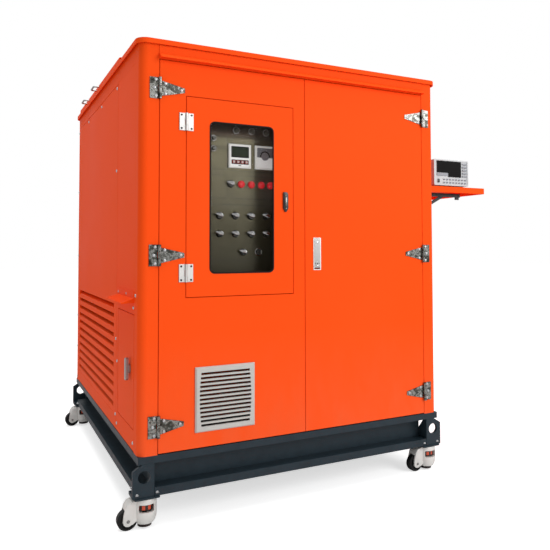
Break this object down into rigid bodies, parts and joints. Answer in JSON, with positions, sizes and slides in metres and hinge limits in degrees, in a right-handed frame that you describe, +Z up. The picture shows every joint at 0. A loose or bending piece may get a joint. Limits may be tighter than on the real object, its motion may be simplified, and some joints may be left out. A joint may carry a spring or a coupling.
{
  "type": "generator load bank",
  "caption": "Wheeled cabinet that loads a generator for tests, with doors, control panel, fan, louvres, roof hatch and shelf.",
  "frame": {"origin": "centre of the whole footprint, on the floor under the caster wheels", "axes": "+Z up, -Y out of the door face, +X towards the side shelf"},
  "size_m": [1.818, 1.544, 1.779],
  "materials": {
    "frame_paint": "satin dark blue-grey enamel on steel channel",
    "zinc_plate": "bright zinc-plated steel",
    "cabinet_paint": "gloss orange powder coat",
    "panel_paint": "brushed dark olive panel",
    "meter_bezel": "moulded light grey plastic",
    "lamp_lens": "ribbed red lens",
    "stainless": "polished stainless steel",
    "element_steel": "heat-tinted steel",
    "contactor_plastic": "moulded dark thermoset",
    "cast_aluminium": "fine-blasted casting",
    "white_plastic": "moulded white plastic",
    "cast_zinc": "tumbled zinc casting",
    "window_glass": "clear tempered pane",
    "latch_steel": "satin chrome",
    "black_steel": "black zinc-plated steel",
    "instrument_plastic": "light grey enamel",
    "knob_plastic": "moulded black plastic",
    "wheel_nylon": "black nylon",
    "dial_plastic": "moulded red-orange dial over a dark pad"
  },
  "bodies": {
    "cabinet": {"base_frame": "frame_paint", "lifting_posts": "frame_paint", "caster_plates": "zinc_plate", "cabinet_frame": "cabinet_paint", "roof_panel": "cabinet_paint", "rear_panels": "cabinet_paint", "left_side_panels": "cabinet_paint", "right_side_panel": "cabinet_paint", "rain_hoods": "cabinet_paint", "control_panel": "panel_paint", "panel_meters": "meter_bezel", "indicator_lamps": "lamp_lens", "door_hinge_leaves": "stainless", "resistor_banks": "element_steel", "contactors": "contactor_plastic", "fan_shroud": "zinc_plate", "shelf_wall_brackets": "black_steel"},
    "left_door": {"left_door_panel": "cabinet_paint", "left_door_straps": "stainless", "vent_grille": "white_plastic", "window_hinge_leaves": "cast_zinc"},
    "window_door": {"window_door_panel": "cabinet_paint", "window_glass": "window_glass", "window_door_hinges": "cast_zinc"},
    "window_latch": {"window_latch": "latch_steel"},
    "right_door": {"right_door_panel": "cabinet_paint", "right_door_straps": "stainless"},
    "lock_paddle": {"door_lock_paddle": "latch_steel"},
    "cable_door": {"cable_door_panel": "cabinet_paint"},
    "cable_handle": {"cable_door_handle": "latch_steel"},
    "exhaust_hatch": {"exhaust_hatch": "cabinet_paint", "hatch_handles": "latch_steel"},
    "shelf": {"shelf_tray": "cabinet_paint", "shelf_arms": "black_steel"},
    "shelf_braces": {"shelf_braces": "black_steel"},
    "instrument": {"instrument_case": "instrument_plastic"},
    "fan": {"fan_impeller": "cast_aluminium"},
    "push_button": {"push_button": "knob_plastic"},
    "selector_1": {"selector_knob_1": "knob_plastic"},
    "selector_2": {"selector_knob_2": "knob_plastic"},
    "selector_3": {"selector_knob_3": "knob_plastic"},
    "selector_4": {"selector_knob_4": "knob_plastic"},
    "selector_5": {"selector_knob_5": "knob_plastic"},
    "selector_6": {"selector_knob_6": "knob_plastic"},
    "selector_7": {"selector_knob_7": "knob_plastic"},
    "selector_8": {"selector_knob_8": "knob_plastic"},
    "selector_9": {"selector_knob_9": "knob_plastic"},
    "selector_10": {"selector_knob_10": "knob_plastic"},
    "swivel_front_left": {"caster_housing_front_left": "cast_aluminium"},
    "wheel_front_left": {"caster_wheel_front_left": "wheel_nylon"},
    "jack_front_left": {"caster_jack_front_left": "dial_plastic"},
    "swivel_front_right": {"caster_housing_front_right": "cast_aluminium"},
    "wheel_front_right": {"caster_wheel_front_right": "wheel_nylon"},
    "jack_front_right": {"caster_jack_front_right": "dial_plastic"},
    "swivel_rear_left": {"caster_housing_rear_left": "cast_aluminium"},
    "wheel_rear_left": {"caster_wheel_rear_left": "wheel_nylon"},
    "jack_rear_left": {"caster_jack_rear_left": "dial_plastic"},
    "swivel_rear_right": {"caster_housing_rear_right": "cast_aluminium"},
    "wheel_rear_right": {"caster_wheel_rear_right": "wheel_nylon"},
    "jack_rear_right": {"caster_jack_rear_right": "dial_plastic"}
  },
  "joints": [
    {"name": "left_door_hinge", "type": "hinge", "parent": "cabinet", "child": "left_door", "pos_m": [-0.7735, -0.7513, 0.969], "axis": [0, 0, -1], "range_deg": [0, 110]},
    {"name": "right_door_hinge", "type": "hinge", "parent": "cabinet", "child": "right_door", "pos_m": [0.4295, -0.7513, 0.969], "axis": [0, 0, 1], "range_deg": [0, 110]},
    {"name": "window_door_hinge", "type": "hinge", "parent": "left_door", "child": "window_door", "pos_m": [-0.672, -0.7498, 1.1835], "axis": [0, 0, -1], "range_deg": [0, 100]},
    {"name": "window_latch_turn", "type": "hinge", "parent": "window_door", "child": "window_latch", "pos_m": [-0.261, -0.744, 1.179], "axis": [0, 1, 0], "range_deg": [0, 90]},
    {"name": "door_lock_lift", "type": "hinge", "parent": "right_door", "child": "lock_paddle", "pos_m": [-0.116, -0.738, 0.917], "axis": [1, 0, 0], "range_deg": [0, 45]},
    {"name": "cable_door_hinge", "type": "hinge", "parent": "cabinet", "child": "cable_door", "pos_m": [-0.836, -0.403, 0.5435], "axis": [0, 0, -1], "range_deg": [0, 100]},
    {"name": "cable_handle_turn", "type": "hinge", "parent": "cable_door", "child": "cable_handle", "pos_m": [-0.845, -0.612, 0.547], "axis": [-1, 0, 0], "range_deg": [0, 90]},
    {"name": "exhaust_hatch_hinge", "type": "hinge", "parent": "cabinet", "child": "exhaust_hatch", "pos_m": [0.467, 0.134, 1.765], "axis": [0, 1, 0], "range_deg": [0, 80]},
    {"name": "shelf_fold", "type": "hinge", "parent": "cabinet", "child": "shelf", "pos_m": [0.541, -0.444, 1.257], "axis": [0, 1, 0], "range_deg": [0, 90]},
    {"name": "shelf_brace_turn", "type": "hinge", "parent": "cabinet", "child": "shelf_braces", "pos_m": [0.517, -0.444, 1.163], "axis": [0, 1, 0], "range_deg": [0, 117.87]},
    {"name": "instrument_lift", "type": "slide", "parent": "shelf", "child": "instrument", "axis": [0, 0, 1], "range_m": [0, 0.12]},
    {"name": "fan_spin", "type": "hinge", "parent": "cabinet", "child": "fan", "pos_m": [-0.172, 0.1665, 0.817], "axis": [0, 0, 1], "continuous": true},
    {"name": "push_button_press", "type": "slide", "parent": "cabinet", "child": "push_button", "axis": [0, 1, 0], "range_m": [0, 0.0035], "stiffness_N_per_m": 400, "springref_m": -0.002},
    {"name": "selector_1_turn", "type": "hinge", "parent": "cabinet", "child": "selector_1", "pos_m": [-0.46, -0.654, 1.251], "axis": [0, -1, 0], "range_deg": [-45, 45]},
    {"name": "selector_2_turn", "type": "hinge", "parent": "cabinet", "child": "selector_2", "pos_m": [-0.507, -0.654, 1.124], "axis": [0, -1, 0], "range_deg": [-45, 45]},
    {"name": "selector_3_turn", "type": "hinge", "parent": "cabinet", "child": "selector_3", "pos_m": [-0.44, -0.654, 1.124], "axis": [0, -1, 0], "range_deg": [-45, 45]},
    {"name": "selector_4_turn", "type": "hinge", "parent": "cabinet", "child": "selector_4", "pos_m": [-0.373, -0.654, 1.124], "axis": [0, -1, 0], "range_deg": [-45, 45]},
    {"name": "selector_5_turn", "type": "hinge", "parent": "cabinet", "child": "selector_5", "pos_m": [-0.306, -0.654, 1.124], "axis": [0, -1, 0], "range_deg": [-45, 45]},
    {"name": "selector_6_turn", "type": "hinge", "parent": "cabinet", "child": "selector_6", "pos_m": [-0.507, -0.654, 1.052], "axis": [0, -1, 0], "range_deg": [-45, 45]},
    {"name": "selector_7_turn", "type": "hinge", "parent": "cabinet", "child": "selector_7", "pos_m": [-0.44, -0.654, 1.052], "axis": [0, -1, 0], "range_deg": [-45, 45]},
    {"name": "selector_8_turn", "type": "hinge", "parent": "cabinet", "child": "selector_8", "pos_m": [-0.373, -0.654, 1.052], "axis": [0, -1, 0], "range_deg": [-45, 45]},
    {"name": "selector_9_turn", "type": "hinge", "parent": "cabinet", "child": "selector_9", "pos_m": [-0.306, -0.654, 1.052], "axis": [0, -1, 0], "range_deg": [-45, 45]},
    {"name": "selector_10_turn", "type": "hinge", "parent": "cabinet", "child": "selector_10", "pos_m": [-0.4065, -0.654, 0.979], "axis": [0, -1, 0], "range_deg": [-45, 45]},
    {"name": "swivel_front_left_turn", "type": "hinge", "parent": "cabinet", "child": "swivel_front_left", "pos_m": [-0.81, -0.704, 0.115], "axis": [0, 0, 1], "continuous": true},
    {"name": "wheel_front_left_roll", "type": "hinge", "parent": "swivel_front_left", "child": "wheel_front_left", "pos_m": [-0.873, -0.704, 0.036], "axis": [0, 1, 0], "continuous": true},
    {"name": "jack_front_left_lower", "type": "slide", "parent": "swivel_front_left", "child": "jack_front_left", "axis": [0, 0, -1], "range_m": [0, 0.01]},
    {"name": "swivel_front_right_turn", "type": "hinge", "parent": "cabinet", "child": "swivel_front_right", "pos_m": [0.466, -0.704, 0.115], "axis": [0, 0, 1], "continuous": true},
    {"name": "wheel_front_right_roll", "type": "hinge", "parent": "swivel_front_right", "child": "wheel_front_right", "pos_m": [0.403, -0.704, 0.036], "axis": [0, 1, 0], "continuous": true},
    {"name": "jack_front_right_lower", "type": "slide", "parent": "swivel_front_right", "child": "jack_front_right", "axis": [0, 0, -1], "range_m": [0, 0.01]},
    {"name": "swivel_rear_left_turn", "type": "hinge", "parent": "cabinet", "child": "swivel_rear_left", "pos_m": [-0.81, 0.72, 0.115], "axis": [0, 0, 1], "continuous": true},
    {"name": "wheel_rear_left_roll", "type": "hinge", "parent": "swivel_rear_left", "child": "wheel_rear_left", "pos_m": [-0.873, 0.72, 0.036], "axis": [0, 1, 0], "continuous": true},
    {"name": "jack_rear_left_lower", "type": "slide", "parent": "swivel_rear_left", "child": "jack_rear_left", "axis": [0, 0, -1], "range_m": [0, 0.01]},
    {"name": "swivel_rear_right_turn", "type": "hinge", "parent": "cabinet", "child": "swivel_rear_right", "pos_m": [0.466, 0.72, 0.115], "axis": [0, 0, 1], "continuous": true},
    {"name": "wheel_rear_right_roll", "type": "hinge", "parent": "swivel_rear_right", "child": "wheel_rear_right", "pos_m": [0.403, 0.72, 0.036], "axis": [0, 1, 0], "continuous": true},
    {"name": "jack_rear_right_lower", "type": "slide", "parent": "swivel_rear_right", "child": "jack_rear_right", "axis": [0, 0, -1], "range_m": [0, 0.01]}
  ],
  "couplings": [
    {"joint": "shelf_brace_turn", "follows": "shelf_fold", "ratio": 1.3041}
  ]
}
